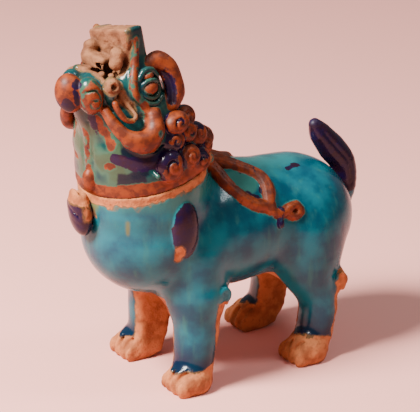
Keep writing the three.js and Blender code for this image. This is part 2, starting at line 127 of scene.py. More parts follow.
def strap(points, widths, depths, across=(0, 1, 0), steps=4):
    """A band along a curve: its half-width lies along `across`, its half-thickness square to it."""
    line = smooth_line(points, steps)
    place = np.linspace(0, 1, len(line))
    wide = np.interp(place, np.linspace(0, 1, len(widths)), widths)
    deep = np.interp(place, np.linspace(0, 1, len(depths)), depths)
    side_axis = np.array(across, float) / np.linalg.norm(across)

    def distance(x, y, z):
        best = np.full(np.broadcast(x, y, z).shape, 1e3, np.float32)
        for k in range(len(line) - 1):
            step = line[k + 1] - line[k]
            o = [x - line[k][0], y - line[k][1], z - line[k][2]]
            t = np.clip(sum(o[i] * step[i] for i in range(3)) / (step @ step), 0, 1)
            o = [o[i] - t * step[i] for i in range(3)]
            side = sum(o[i] * side_axis[i] for i in range(3))
            rest = np.sqrt(np.maximum(sum(v * v for v in o) - side * side, 0))
            w = wide[k] + (wide[k + 1] - wide[k]) * t
            d = deep[k] + (deep[k + 1] - deep[k]) * t
            best = np.minimum(best, ellipse_distance(side, rest, 0, w, d, 1))
        return best

    most = max(max(widths), max(depths))
    return Lump(distance, line.min(0) - most, line.max(0) + most)


def strand(points, radii, steps=4):
    return strap(points, radii, radii, steps=steps)


def column(stations):
    """An upright form. Each station is (z, x, y, half-length along x, half-width along y)."""
    s = np.array(stations, float)

    def distance(x, y, z):
        k = np.clip(np.searchsorted(s[:, 0], z) - 1, 0, len(s) - 2)
        raw = np.clip((z - s[k, 0]) / (s[k + 1, 0] - s[k, 0]), 0, 1)
        t = raw * raw * (3 - 2 * raw)
        cx, cy, a, b = (s[k, i] + (s[k + 1, i] - s[k, i]) * t for i in range(1, 5))
        return np.maximum(
            ellipse_distance(x - cx, y - cy, 0, a, b, 1),
            np.maximum(s[0, 0] - z, z - s[-1, 0]),
        )

    low = [(s[:, 1] - s[:, 3]).min(), (s[:, 2] - s[:, 4]).min(), s[0, 0]]
    high = [(s[:, 1] + s[:, 3]).max(), (s[:, 2] + s[:, 4]).max(), s[-1, 0]]
    return Lump(distance, low, high)


def drum(radius, low, high, middle=(0, 0)):
    """An upright cylinder between two heights."""
    mx, my = middle
    return Lump(
        lambda x, y, z: np.maximum(
            np.sqrt((x - mx) ** 2 + (y - my) ** 2) - radius, np.maximum(low - z, z - high)
        ),
        [mx - radius, my - radius, low], [mx + radius, my + radius, high],
    )


def mirrored(lump):
    return Lump(
        lambda x, y, z: lump.distance(x, -y, z),
        lump.low * (1, -1, 1) - (0, lump.high[1] - lump.low[1], 0),
        lump.high * (1, -1, 1) + (0, lump.high[1] - lump.low[1], 0),
    )


def pair(*lumps):
    """Lumps at the left side, where y is negative, with their mirror images at the right."""
    return [each for lump in lumps for each in (lump, mirrored(lump))]


def moved(lump, matrix):
    """A lump that was made in other axes, placed by a matrix."""
    back = np.array(matrix.inverted())
    corners = [Vector((x, y, z)) for x in (lump.low[0], lump.high[0])
               for y in (lump.low[1], lump.high[1]) for z in (lump.low[2], lump.high[2])]
    box = np.array([matrix @ c for c in corners])

    def distance(x, y, z):
        p = [back[k, 0] * x + back[k, 1] * y + back[k, 2] * z + back[k, 3] for k in range(3)]
        return lump.distance(*p)

    return Lump(distance, box.min(0), box.max(0))


# A grid of distances, to which lumps are added or from which they are cut
class Clay:
    def __init__(self, low, high, cell):
        self.low = np.array(low, float)
        self.cell = cell
        self.size = np.ceil((np.array(high) - self.low) / cell).astype(int) + 1
        self.field = np.full(self.size, FAR, np.float32)

    def blend_in(self, lump, blend, sign):
        first = np.floor((lump.low - blend - 4 - self.low) / self.cell).astype(int)
        last = np.ceil((lump.high + blend + 4 - self.low) / self.cell).astype(int) + 1
        first, last = np.clip(first, 0, self.size), np.clip(last, 0, self.size)
        if (last <= first).any():
            return
        window = tuple(slice(a, b) for a, b in zip(first, last))
        x, y, z = (
            (self.low[i] + self.cell * np.arange(first[i], last[i], dtype=np.float32)).astype(np.float32)
            for i in range(3)
        )
        new = lump.distance(x[:, None, None], y[None, :, None], z[None, None, :])
        old = sign * self.field[window]
        near = np.maximum(blend - abs(old - new), 0) / max(blend, 1e-6)
        self.field[window] = sign * (np.minimum(old, new) - near * near * blend / 4)

    def add(self, blend, *lumps):
        for lump in lumps:
            self.blend_in(lump, blend, 1)

    def cut(self, blend, *lumps):
        for lump in lumps:
            self.blend_in(lump, blend, -1)

    def sample(self, field, points):
        """The grid's value and slope at each point, between grid points."""
        place = np.clip((points - self.low) / self.cell, 0, self.size - 1.001)
        base = np.floor(place).astype(int)
        fx, fy, fz = (place - base).T
        corner = {}
        for i in (0, 1):
            for j in (0, 1):
                for k in (0, 1):
                    corner[i, j, k] = field[base[:, 0] + i, base[:, 1] + j, base[:, 2] + k]
        along_x = {(j, k): corner[0, j, k] * (1 - fx) + corner[1, j, k] * fx for j in (0, 1) for k in (0, 1)}
        along_y = [along_x[0, k] * (1 - fy) + along_x[1, k] * fy for k in (0, 1)]
        value = along_y[0] * (1 - fz) + along_y[1] * fz
        dx = sum((corner[1, j, k] - corner[0, j, k]) * (fy if j else 1 - fy) * (fz if k else 1 - fz)
                 for j in (0, 1) for k in (0, 1))
        dy = sum((along_x[1, k] - along_x[0, k]) * (fz if k else 1 - fz) for k in (0, 1))
        slope = np.stack([dx, dy, along_y[1] - along_y[0]], 1) / self.cell
        return value, slope


def surface(clay):
    """The zero surface of a grid: one point in each cell that it crosses, as points and triangles."""
    field, size = clay.field, clay.size
    inside = field < 0
    counts = np.zeros(size - 1, np.int8)
    offsets = np.array([(i, j, k) for i in (0, 1) for j in (0, 1) for k in (0, 1)])
    for i, j, k in offsets:
        counts += inside[i:size[0] - 1 + i, j:size[1] - 1 + j, k:size[2] - 1 + k]
    crossed = (counts > 0) & (counts < 8)
    cells = np.argwhere(crossed)
    number = np.full(crossed.shape, -1, np.int32)
    number[crossed] = np.arange(len(cells))
    total = np.zeros((len(cells), 3))
    hits = np.zeros(len(cells))
    for axis in range(3):
        unit = np.eye(3, dtype=int)[axis]
        for offset in offsets[offsets[:, axis] == 0]:
            a = field[tuple((cells + offset).T)]
            b = field[tuple((cells + offset + unit).T)]
            cross = (a < 0) != (b < 0)
            t = np.where(cross, a / np.where(a == b, 1, a - b), 0)
            total += np.where(cross[:, None], offset + t[:, None] * unit, 0)
            hits += cross
    points = clay.low + clay.cell * (cells + total / hits[:, None])
    quads = []
    for axis in range(3):
        b, c = (axis + 1) % 3, (axis + 2) % 3
        unit, ub, uc = np.eye(3, dtype=int)[[axis, b, c]]
        here = inside[tuple(slice(0, n - (i == axis)) for i, n in enumerate(size))]
        there = inside[tuple(slice(i == axis, n) for i, n in enumerate(size))]
        edges = np.argwhere(here != there)
        ok = (edges[:, [b, c]] > 0).all(1) & (edges[:, [b, c]] < size[[b, c]] - 1).all(1)
        edges = edges[ok]
        ring = [number[tuple((edges - s * ub - t * uc).T)] for s, t in ((1, 1), (0, 1), (0, 0), (1, 0))]
        ring = np.stack(ring, 1)
        outward = inside[tuple(edges.T)]
        quads.append(np.where(outward[:, None], ring, ring[:, ::-1]))
    quads = np.vstack(quads)
    for _ in range(3):
        value, slope = clay.sample(field, points)
        pull = value / np.maximum((slope**2).sum(1), 0.1)
        points -= np.clip(pull, -0.5 * clay.cell, 0.5 * clay.cell)[:, None] * slope
    across = np.linalg.norm(points[quads[:, 0]] - points[quads[:, 2]], axis=1)
    other = np.linalg.norm(points[quads[:, 1]] - points[quads[:, 3]], axis=1)
    turned = np.where((other < across)[:, None], np.roll(quads, 1, axis=1), quads)
    return points, np.vstack([turned[:, [0, 1, 2]], turned[:, [0, 2, 3]]])


def coarsened(points, triangles, hidden, grid):
    """Joins the hidden points that share a cell of a coarser grid, and drops what falls flat."""
    keys = np.floor(points / grid).astype(np.int64) + 1000
    code = (keys[:, 0] * 4000 + keys[:, 1]) * 4000 + keys[:, 2]
    code = np.where(hidden, -1 - code, np.arange(len(points)))
    _, first, same = np.unique(code, return_index=True, return_inverse=True)
    joined = np.zeros((len(first), 3))
    np.add.at(joined, same, points)
    joined /= np.bincount(same)[:, None]
    faces = same[triangles]
    flat = (faces[:, 0] == faces[:, 1]) | (faces[:, 1] == faces[:, 2]) | (faces[:, 2] == faces[:, 0])
    return joined, faces[~flat]


def normals_of(points, triangles):
    a, b, c = (points[triangles[:, i]] for i in range(3))
    flat = np.cross(b - a, c - a)
    out = np.zeros_like(points)
    for i in range(3):
        np.add.at(out, triangles[:, i], flat)
    return out / np.maximum(np.linalg.norm(out, axis=1), 1e-12)[:, None]


class Noise:
    """Smooth random values in space: zero on average and about one at most."""
    SIDE = 32

    def __init__(self, seed):
        self.lattice = np.random.default_rng(seed).uniform(-1, 1, (self.SIDE,) * 3)

    def at(self, points, size):
        place = points / np.array(size, float)
        base = np.floor(place).astype(int)
        t = place - base
        t = t * t * (3 - 2 * t)
        value = np.zeros(len(points))
        for i in (0, 1):
            for j in (0, 1):
                for k in (0, 1):
                    share = [t[:, n] if on else 1 - t[:, n] for n, on in enumerate((i, j, k))]
                    corner = (base + (i, j, k)) % self.SIDE
                    value += share[0] * share[1] * share[2] * self.lattice[tuple(corner.T)]
        return 1.5 * value

    def rough(self, points, size, octaves=3):
        return sum(self.at(points + 7.3 * k, size / 2**k) / 2**k for k in range(octaves))


def inside_of(points, *lumps):
    """How far each point lies inside the nearest of the lumps: negative outside."""
    x, y, z = points.T
    return -np.min([lump.distance(x, y, z) for lump in lumps], axis=0)


def soft_step(value, low, high):
    t = np.clip((value - low) / (high - low), 0, 1)
    return t * t * (3 - 2 * t)


# The axes of the neck and of the head
NECK = Matrix.Translation((NECK_X, 0, NECK_Z)) @ Matrix.Rotation(math.radians(-NECK_LEAN), 4, "Y")
HEAD = NECK @ Matrix.Rotation(math.radians(HEAD_TURN), 4, "Z")


def in_axes(points, matrix):
    back = np.array(matrix.inverted())
    return points @ back[:3, :3].T + back[:3, 3]


# The body's main masses: middle and radii
CHEST = ((-41, 0, 75), (30.5, 31, 29))
BARREL = ((-2, 0, 70), (58, 31, 29.5))
RUMP = ((37, 0, 66.5), (32, 31.5, 29))


# Lines on the body: the ribbons of the bow, at the left side, and the tail
UPPER_RIBBON = [(-12, -1, 105), (-6, -3, 103.6), (0.5, -4.5, 100.8), (5.6, -8, 98.6), (10.1, -11.7, 96.6),
                (12.8, -16, 94.2), (12.8, -20.6, 90.6), (11.2, -24.6, 87), (10.5, -27.2, 83.4)]
LOWER_RIBBON = [(-12, -4, 104.4), (-9, -10.5, 100.4), (-7.6, -15.5, 96.8), (-5, -19.6, 93), (-1.6, -23.6, 89.4),
                (3, -26, 86.4), (8, -26.4, 85)]
END_RIBBON = [(10.5, -27.4, 83), (13.5, -28.6, 80.6), (17.5, -28.2, 80.4), (21, -27.6, 81.8)]
END_LOOP = [(20.6, -27.8, 82), (25, -27, 82.2), (26.4, -28, 79.4), (23.6, -28.8, 77.4), (20.4, -28.4, 79)]
DROP = [(15.6, -28, 82), (14.6, -29.4, 79), (14.2, -30.4, 75.4)]
TAIL_LINE = [(66, 0, 63), (71.2, 0, 76), (69.6, 0, 87), (63, 0, 95.5), (56.6, 0, 103.5), (53.2, 0, 109)]
TAIL_WIDTHS = [3.5, 4.6, 6, 6.4, 5.2, 2.6]
TAIL_ACROSS = (0.75, 0, 0.66)


def trunk(clay):
    clay.add(0, ball(*BARREL))
    clay.add(6, ball(*CHEST), ball(*RUMP))
    clay.add(6, column([
        (66, NECK_X + 5, 0, 20, 20), (92, NECK_X + 1, 0, 30, 30.5), (114, NECK_X - 1, 0, NECK_R, NECK_R),
    ]))


def foot(clay, x):
    clay.add(4, *pair(ball((x + 0.6, -24.5, 5), (10.6, 10.5, 8.5))))
    for y, wide in ((-31.5, 2.6), (-26.5, 3), (-21, 3), (-16.6, 2)):
        clay.add(1.6, *pair(ball((x - 6, y, 3.4), (4.2, wide, 4.6))))
    for y in (-29, -23.8, -18.6):
        clay.cut(1, *pair(strand([(x - 12, y, 0), (x - 10.4, y, 5), (x - 6.5, y, 9.4), (x - 2, y, 11)],
                                 [1.3, 1.3, 1.2, 0.6])))


def front_leg(clay):
    clay.add(7, *pair(column([
        (2, -31, -21, 8.5, 10.5), (14, -28, -20.5, 9.2, 11.5), (30, -26.5, -20, 10.8, 12.5),
        (46, -25.5, -19, 13.5, 15), (62, -26, -13, 12, 12),
    ])))
    clay.add(9, *pair(ball((-27, -17, 58), (13.5, 16, 22), (0, 6, 0))))
    foot(clay, -33.5)


def hind_leg(clay):
    clay.add(6, *pair(ball((37, -18, 54), (17, 15, 24), (0, -8, 0))))
    clay.add(6, *pair(column([
        (2, 35, -21, 8.5, 10.5), (12, 40.5, -20.5, 8.5, 11), (26, 42.5, -20, 9, 11.5), (48, 38, -17, 10, 12),
    ])))
    clay.add(3, *pair(ball((48.5, -22, 38), (4.5, 9, 8))))
    foot(clay, 32.5)


def tuft(clay, middle, size):
    """A swirl of hair on a joint of the leg: an oval lump with hooked strands of clay on it."""
    x, y, z = middle
    clay.add(1.5, *pair(ball(middle, (0.7 * size, 0.6 * size, size))))
    hook = [(x + 0.2 * size, y - 0.5 * size, z - size), (x + 0.5 * size, y - 0.62 * size, z),
            (x, y - 0.66 * size, z + 0.7 * size), (x - 0.5 * size, y - 0.6 * size, z + 0.2 * size),
            (x - 0.2 * size, y - 0.66 * size, z - 0.3 * size)]
    clay.add(0.5, *pair(strand(hook, [0.8, 1, 1, 0.9, 0.7])))


def inner_sides(clay):
    clay.cut(3, block((0, 0, 17), (80, LEG_GAP / 2, 20.5), 4))


def tail(clay):
    clay.add(3, strap(TAIL_LINE, TAIL_WIDTHS, [6, 6, 6.2, 5.4, 4.4, 2.4], TAIL_ACROSS))
    for side in (-1, 1):
        clay.cut(0.8, strand([(x + 0.4, side * d, z + 0.4) for (x, y, z), d in zip(TAIL_LINE[1:], (6, 6.2, 5.4, 4.4, 2.6))],
                             [0.5, 0.9, 0.9, 0.8, 0.4]))
        clay.cut(0.8, strand([(68, side * 6.2, 79), (65.6, side * 6.2, 88), (59.6, side * 5, 96.5)], [0.4, 0.8, 0.4]))


def pendants(clay):
    clay.add(1, ball((-76, 1, 91), (4.5, 7.6, 12.3), (0, -8, 0)))
    for k in range(4):
        vein = [(-80, 5.5, 96 - 4.6 * k), (-81, 1, 93.5 - 4.6 * k), (-78.6, -4, 90 - 4.6 * k)]
        clay.cut(0.5, strand(vein, [0.4, 0.6, 0.4]))
    clay.add(1, *pair(ball((-38.4, -30, 84), (7.1, 3.6, 13.4), (0, 0, 6))))
    clay.cut(0.6, *pair(strand([(-38, -33.8, 95), (-38.6, -34.4, 84), (-38, -33.6, 73)], [0.4, 0.6, 0.4])))


def bow(clay):
    clay.add(1.2, *pair(strand(UPPER_RIBBON, [3.4, 3.2, 3, 2.9, 2.8, 2.8, 2.7, 2.4, 1.9])))
    clay.add(1.2, *pair(strand(LOWER_RIBBON, [3.2, 2.8, 2.6, 2.5, 2.4, 2.3, 2])))
    clay.add(0.8, *pair(strand(END_RIBBON, [1.9, 1.8, 1.7, 1.7]), strand(END_LOOP, [1.5] * 5), strand(DROP, [1.3, 1.2, 1.5])))
    for line, lift in ((UPPER_RIBBON, 2.9), (LOWER_RIBBON, 2.5)):
        furrow = [(x, y - 0.5 * lift, z + 0.86 * lift) for x, y, z in line]
        clay.cut(0.6, *pair(strand(furrow, [0.5] + [0.7] * (len(line) - 2) + [0.4])))
    clay.cut(0.4, *pair(ball((23.4, -29.2, 80), (1.3, 1.6, 1.3))))
    clay.add(1, *pair(ball((-13, -4, 106), (5, 6, 4))))


def smaller(mass):
    middle, radii = mass
    return ball(middle, [r - WALL for r in radii])


def body_clay():
    clay = Clay((-90, -40, -4), (84, 40, 118), BODY_CELL)
    trunk(clay)
    front_leg(clay)
    hind_leg(clay)
    inner_sides(clay)
    tail(clay)
    pendants(clay)
    bow(clay)
    tuft(clay, (-18.5, -30.5, 48), 4.6)
    tuft(clay, (49, -28, 40), 5.2)
    clay.cut(0, moved(drum(NECK_R + 4, 0, 30), NECK))
    clay.cut(0, moved(drum(BORE_R, -34, 12), NECK), smaller(CHEST), smaller(BARREL), smaller(RUMP))
    clay.cut(0, block((0, 0, -20), (120, 60, 20), 0))
    return clay


# Lines on the head, at its left side; the right side is their mirror image
TEAL_LINE = [(-3.6, -13.7, 69), (-4.5, -13.7, 66), (-7.2, -14.7, 61.5), (-11.9, -16.9, 56.6), (-13.6, -17.7, 52),
             (-13.4, -19, 46.1), (-11.8, -21, 41), (-11.3, -21.5, 36.5)]
CHEEK_RIDGE = [(-1, -13.4, 69.5), (-1.9, -13.8, 65.6), (-5, -15.1, 58), (-8.3, -16.9, 53.4), (-10.7, -19, 47.5),
               (-8.6, -20, 43), (-6.5, -21.5, 38.2)]
CHEEK_BAND = [(-23.6, -12.5, 42.5), (-23.2, -17, 36.5), (-21, -21, 31.2), (-16.8, -24.4, 28.2), (-11.6, -25.4, 27.6),
              (-7, -24.8, 30), (-5.2, -22.8, 35)]
CHEEK_WIDTHS = [2.2, 3, 3.5, 4.2, 4.6, 4.8, 3.6]
LOW_BAND = [(-20.6, -21.4, 27.6), (-16.6, -24.6, 25), (-11.6, -25.8, 24.6), (-7.4, -25, 27)]
VALLEY = [(-26.4, -10.5, 41), (-25.8, -15.5, 32), (-22.8, -19.7, 24.4), (-18.2, -24, 19.6), (-12, -27, 18.6),
          (-6, -27.5, 20.4)]
LIP = [(-15.4, -14, 49.5), (-15, -15.6, 45.4), (-13.8, -17.8, 42.3), (-13.4, -20.4, 39.8), (-14.4, -22, 38),
       (-16.8, -21.8, 37), (-19.5, -20.6, 39.2), (-21, -19.2, 42.7), (-21.2, -17.4, 46.5)]
SLOT = [(-16.4, -14.5, 49), (-17, -18, 44.5), (-16.4, -20.8, 40.6)]
UPPER_LID = [(-6.6, -19, 47.6), (-5.2, -19.8, 50), (-2.4, -20.6, 51), (1, -20.6, 49.8), (3.6, -19, 46.4)]
LOWER_LID = [(-7, -19.4, 46.6), (-5, -20.8, 43.6), (-1.6, -21.2, 42.2), (1.8, -20.4, 43.2), (3.8, -19, 46)]
UNDER_LID = [(-8.4, -19.6, 46), (-6.4, -21, 41.8), (-2, -21.8, 39.6), (3, -20.8, 41)]
BROW = [(-5.8, -18.2, 52.6), (-2.6, -18.2, 55.2), (1.8, -18, 54), (4.2, -18.4, 50.4)]
WING_STRIPE = [(-25.6, -10.6, 58), (-22.6, -12.6, 52.4), (-22.6, -15.6, 47.6)]
WING_CURL = [(-30.2, -10.4, 54.4), (-27, -12, 54), (-25, -12.8, 50.4), (-25.6, -12.8, 46.6), (-28.4, -12.2, 45.4),
             (-30.2, -11.4, 47.4), (-29.4, -12.4, 50), (-27.6, -12.9, 49.6)]
THROAT_RIDGE = [(-24.5, 0, 40), (-26.6, 0, 25), (-28.6, 0, 11)]
EAR = [(4, -13.5, 55), (9, -14.5, 55), (12, -16.5, 50.5), (12.5, -18.5, 44), (11.5, -19.5, 39), (7.5, -20, 34.5)]
EAR_GROOVE = [(7.6, -18.6, 50), (8.6, -20.4, 46.5), (8.4, -21.6, 42), (6.8, -22.6, 37)]
WORN_LOBE = [(-27, -8.5, 38.5), (-26.6, -12, 31.5), (-25.6, -14, 26.5)]
FANGS = [(-9, -9.4, 64), (-11.2, -9.8, 60.4)]


def whorl(middle, radius, turns, facing, start=0.0):
    """A spiral on a curl: points that wind from its edge to its middle, seen along `facing`."""
    out = Vector(facing).normalized()
    side = out.cross(Vector((0, 0, 1))).normalized()
    top = side.cross(out)
    count = int(10 * turns)
    points = []
    for k in range(count + 1):
        angle = start + 2 * math.pi * turns * k / count
        reach = radius * (1 - 0.85 * k / count)
        lift = 0.25 * radius * k / count
        spot = Vector(middle) + out * lift + side * (reach * math.cos(angle)) + top * (reach * math.sin(angle))
        points.append(tuple(spot))
    return points


# Curls of the mane: middle and radii
CURLS = [
    ((4.5, -25.5, 28), (6.6, 5.2, 5)),
    ((1, -26, 20.5), (5.4, 4.4, 4.6)),
    ((9.5, -25, 21.5), (5, 5, 5)),
    ((-5, -28.2, 11), (6.8, 5, 7.6)),
    ((7, -27.5, 10.5), (5.6, 4.6, 5.4)),
    ((13, -25.5, 5.5), (6.6, 5.4, 6.4)),
    ((17.5, -20.5, 15.5), (6, 5.8, 5.8)),
    ((23.5, -16, 6.5), (6.4, 5.6, 6)),
    ((30.5, -7.5, 5), (6.6, 7, 5.6)),
    ((14, -20, 26), (5.2, 5, 5.2)),
]


def skull(clay):
    clay.add(0, column([(-6, 0, 0, 31, 31), (6, 0, 0, 30, 30), (18, -1, 0, 27.5, 28), (36, -2, 0, 19, 21)]))
    clay.add(8, ball((-3, 0, 26), (22, 23, 24)))
    clay.add(4, ball((19, 0, 5.5), (16, 16, 10.5)))


def jaws(clay):
    clay.add(6, ball((-17, 0, 42), (12, 12.5, 15.5)))
    clay.add(1.5, ball((-32, 0, 52.3), (6.5, 6.5, 8.9)))
    clay.add(1.2, ball((-26.6, -7.3, 50.4), (5.4, 5.8, 8.8)))
    clay.add(1.5, ball((-24.3, 7.3, 50), (5.5, 5.5, 9)))
    clay.add(6, ball((2, 0, 45), (10, 13, 12)))
    clay.add(3, block((-1, 0, 60), (5.6, 14, 17), 3))
    clay.cut(1.5, block((0, 0, 82.6), (14, 22, 10), 1, (-12, 10, 0)))
    clay.add(5, *pair(ball((-4, -11, 45), (12, 9, 13))))
    clay.add(2.5, *pair(ball((-17.6, -12.6, 50.5), (4, 4.2, 6.5))))


def mouth(clay):
    clay.cut(2, block((-12.5, 0, 67), (5.5, 20, 9), 2))
    clay.cut(2, block((-12, 0, 58), (4.2, 9.5, 8), 2))
    clay.add(1, block((-9, 4, 58.4), (5.4, 7.4, 3), 1.4, (6, 16, 4)))
    clay.add(1.5, *pair(strand(FANGS, [3.4, 3.2])))
    clay.add(1, block((-15.5, 8, 54.4), (4.5, 4, 2.6), 1.2, (0, 20, 8)))
    rng = np.random.default_rng(8)
    for x, y in ((-9, 1), (-11.5, 3.5), (-14, 1.5), (-12.5, -1.5), (-9.5, -3.5), (-15.5, -4), (-12, -6), (-17, 4)):
        clay.add(0.5, ball((x, y, 53.5 + 2.5 * rng.random()), tuple(1.3 + 0.9 * rng.random(3))))
    clay.cut(1, *pair(strand(SLOT, [1.9, 2, 1.6])))
    clay.add(0.7, *pair(strand(LIP, [1.1] * 9)))
    clay.add(0.8, *pair(ball((-18.4, -14.6, 53.2), (3.2, 2.6, 3.2))))
    clay.cut(0.4, *pair(ball((-19, -16.6, 53.6), (1.7, 2.4, 1.7))))


def face(clay):
    clay.add(2, *pair(strand(CHEEK_BAND, [0.86 * w for w in CHEEK_WIDTHS])))
    clay.add(2.5, *pair(strand(LOW_BAND, [2.4, 3, 3, 2.4])))
    clay.cut(1.5, *pair(strand(VALLEY, [1.5, 1.8, 2, 2, 1.8, 1.4])))
    clay.cut(1.2, *pair(strand(TEAL_LINE, [0.7, 0.7, 0.8, 1.1, 1.2, 1.4, 1.6, 1.8])))
    clay.add(1, *pair(strand(CHEEK_RIDGE, [1.2, 1.3, 1.5, 1.7, 1.7, 1.5, 1])))
    clay.cut(1.5, *pair(strand([(-18, -21.5, 35.2), (-13.5, -22.6, 34), (-10.8, -21.8, 36)], [1.2, 2, 2])))
    clay.add(1, strand(THROAT_RIDGE, [1.6, 1.6, 1.8]))
    clay.cut(1, *pair(strand([(-28, -4.2, 37), (-28.2, -3.4, 24), (-30, -3.4, 12)], [0.8, 0.9, 0.8])))
    clay.add(1, ball((-30.2, 0, 7.5), (2.8, 3.2, 5)))
    clay.add(0.6, *pair(ball((-2, -19.2, 46.9), (4, 3, 3.1))))
    clay.add(0.3, *pair(strand(UPPER_LID, [0.7] * 5), strand(LOWER_LID, [0.7] * 5), strand(UNDER_LID, [0.8] * 4)))
    clay.add(0.4, *pair(strand(BROW, [1, 1.1, 1.1, 0.8]), ball((-1.2, -19, 52.6), (2.4, 1.6, 1.3))))
    clay.cut(0.4, *pair(strand(WING_STRIPE, [0.7, 0.8, 0.7]), strand(WING_CURL, [0.7] * 8)))


def mane(clay):
    clay.add(1.2, *pair(strand(EAR, [3, 4.2, 4.4, 4.2, 4.4, 3.4])))
    clay.cut(0.8, *pair(strand(EAR_GROOVE, [1.6, 2, 2, 1.5])))
    for middle, radii in CURLS:
        clay.add(1, *pair(ball(middle, radii)))
        out = Vector((middle[0] * 0.3 - 2, middle[1], 6)).normalized()
        spot = Vector(middle) + 0.8 * min(radii) * out
        line = whorl(spot, 0.66 * max(radii), 1.4, out, 0.6 * middle[0])
        clay.cut(0.4, *pair(strand(line, [0.8] * len(line), 1)))
    clay.add(0.5, *pair(*[
        strand([(x, -27 + 0.5 * abs(x - 2), 16), (x + 1.5, -28.5 + 0.5 * abs(x - 2), 13), (x + 1, -29, 9)], [1, 1.2, 0.8])
        for x in (-14, -11)]))


def head_clay():
    clay = Clay((-44, -38, -2), (48, 38, 84), HEAD_CELL)
    skull(clay)
    jaws(clay)
    mouth(clay)
    face(clay)
    mane(clay)
    clay.cut(0, drum(60, -20, SEAT_GAP))
    clay.cut(0, drum(BORE_R, -5, 9), ball((0, 0, 20), (20, 20, 20)))
    clay.cut(0, moved(drum(SMOKE_R, 130, 162, SMOKE_WAY), HEAD.inverted()))
    return clay


def mesh_object(name, points, triangles, marks, material):
    """A smooth mesh piece in metres. Each mark is a number at every point, for the material."""
    mesh = bpy.data.meshes.new(name)
    mesh.vertices.add(len(points))
    mesh.vertices.foreach_set("co", (points * MM).astype(np.float32).ravel())
    mesh.loops.add(3 * len(triangles))
    mesh.loops.foreach_set("vertex_index", triangles.astype(np.int32).ravel())
    mesh.polygons.add(len(triangles))
    mesh.polygons.foreach_set("loop_start", np.arange(0, 3 * len(triangles), 3, dtype=np.int32))
    mesh.update(calc_edges=True)
    mesh.shade_smooth()
    for mark, values in marks.items():
        attribute = mesh.attributes.new(mark, "FLOAT", "POINT")
        attribute.data.foreach_set("value", values.astype(np.float32))
    mesh.materials.append(material)
    piece = bpy.data.objects.new(name, mesh)
    bpy.context.scene.collection.objects.link(piece)
    return piece


def placed(points):
    return points + (LENGTH_SHIFT, 0, 0)


# Materials
def colour(red, green, blue):
    """A colour as light, from the 0 to 255 values of a screen."""
    def light(v):
        v /= 255
        return v / 12.92 if v <= 0.04045 else ((v + 0.055) / 1.055) ** 2.4
    return (light(red), light(green), light(blue), 1)


class Shader:
    """Builds a material's nodes. Sizes are in millimetres."""

    def __init__(self, name):
        self.material = bpy.data.materials.new(name)
        self.material.use_nodes = True
        self.tree = self.material.node_tree
        self.shader = self.tree.nodes["Principled BSDF"]
        place = self.tree.nodes.new("ShaderNodeTexCoord").outputs["Object"]
        scaled = self.tree.nodes.new("ShaderNodeVectorMath")
        scaled.operation = "SCALE"
        scaled.inputs["Scale"].default_value = 1 / MM
        self.tree.links.new(place, scaled.inputs[0])
        self.place = scaled.outputs[0]

    def feed(self, socket, value):
        if isinstance(value, bpy.types.NodeSocket):
            self.tree.links.new(value, socket)
        elif value is not None:
            socket.default_value = value

    def node(self, kind, output=0, settings=(), **inputs):
        node = self.tree.nodes.new(kind)
        for key, value in dict(settings).items():
            setattr(node, key, value)
        for key, value in inputs.items():
            index = int(key[1:]) if key[0] == "i" and key[1:].isdigit() else key.replace("_", " ")
            self.feed(node.inputs[index], value)
        return node.outputs[output]

    def mark(self, name):
        return self.node("ShaderNodeAttribute", "Fac", {"attribute_name": name})

    def maths(self, operation, a, b=None, c=None):
        return self.node("ShaderNodeMath", 0, {"operation": operation}, i0=a, i1=b, i2=c)

    def noise(self, size, detail=2.0, shift=0.0, stretch=(1, 1, 1)):
        spot = self.node("ShaderNodeMapping", 0, {"vector_type": "POINT"}, Vector=self.place,
                         Location=(shift, shift, shift), Scale=tuple(1 / (size * s) for s in stretch))
        return self.node("ShaderNodeTexNoise", "Fac", {"noise_dimensions": "3D"}, Vector=spot, Scale=1.0,
                         Detail=detail)

    def step(self, value, low, high, start=0.0, end=1.0):
        return self.node("ShaderNodeMapRange", 0, {"interpolation_type": "SMOOTHSTEP"}, Value=value,
                         From_Min=low, From_Max=high, To_Min=start, To_Max=end)

    def mix(self, amount, a, b):
        return self.node("ShaderNodeMix", 2, {"data_type": "RGBA"}, i0=amount, i6=a, i7=b)


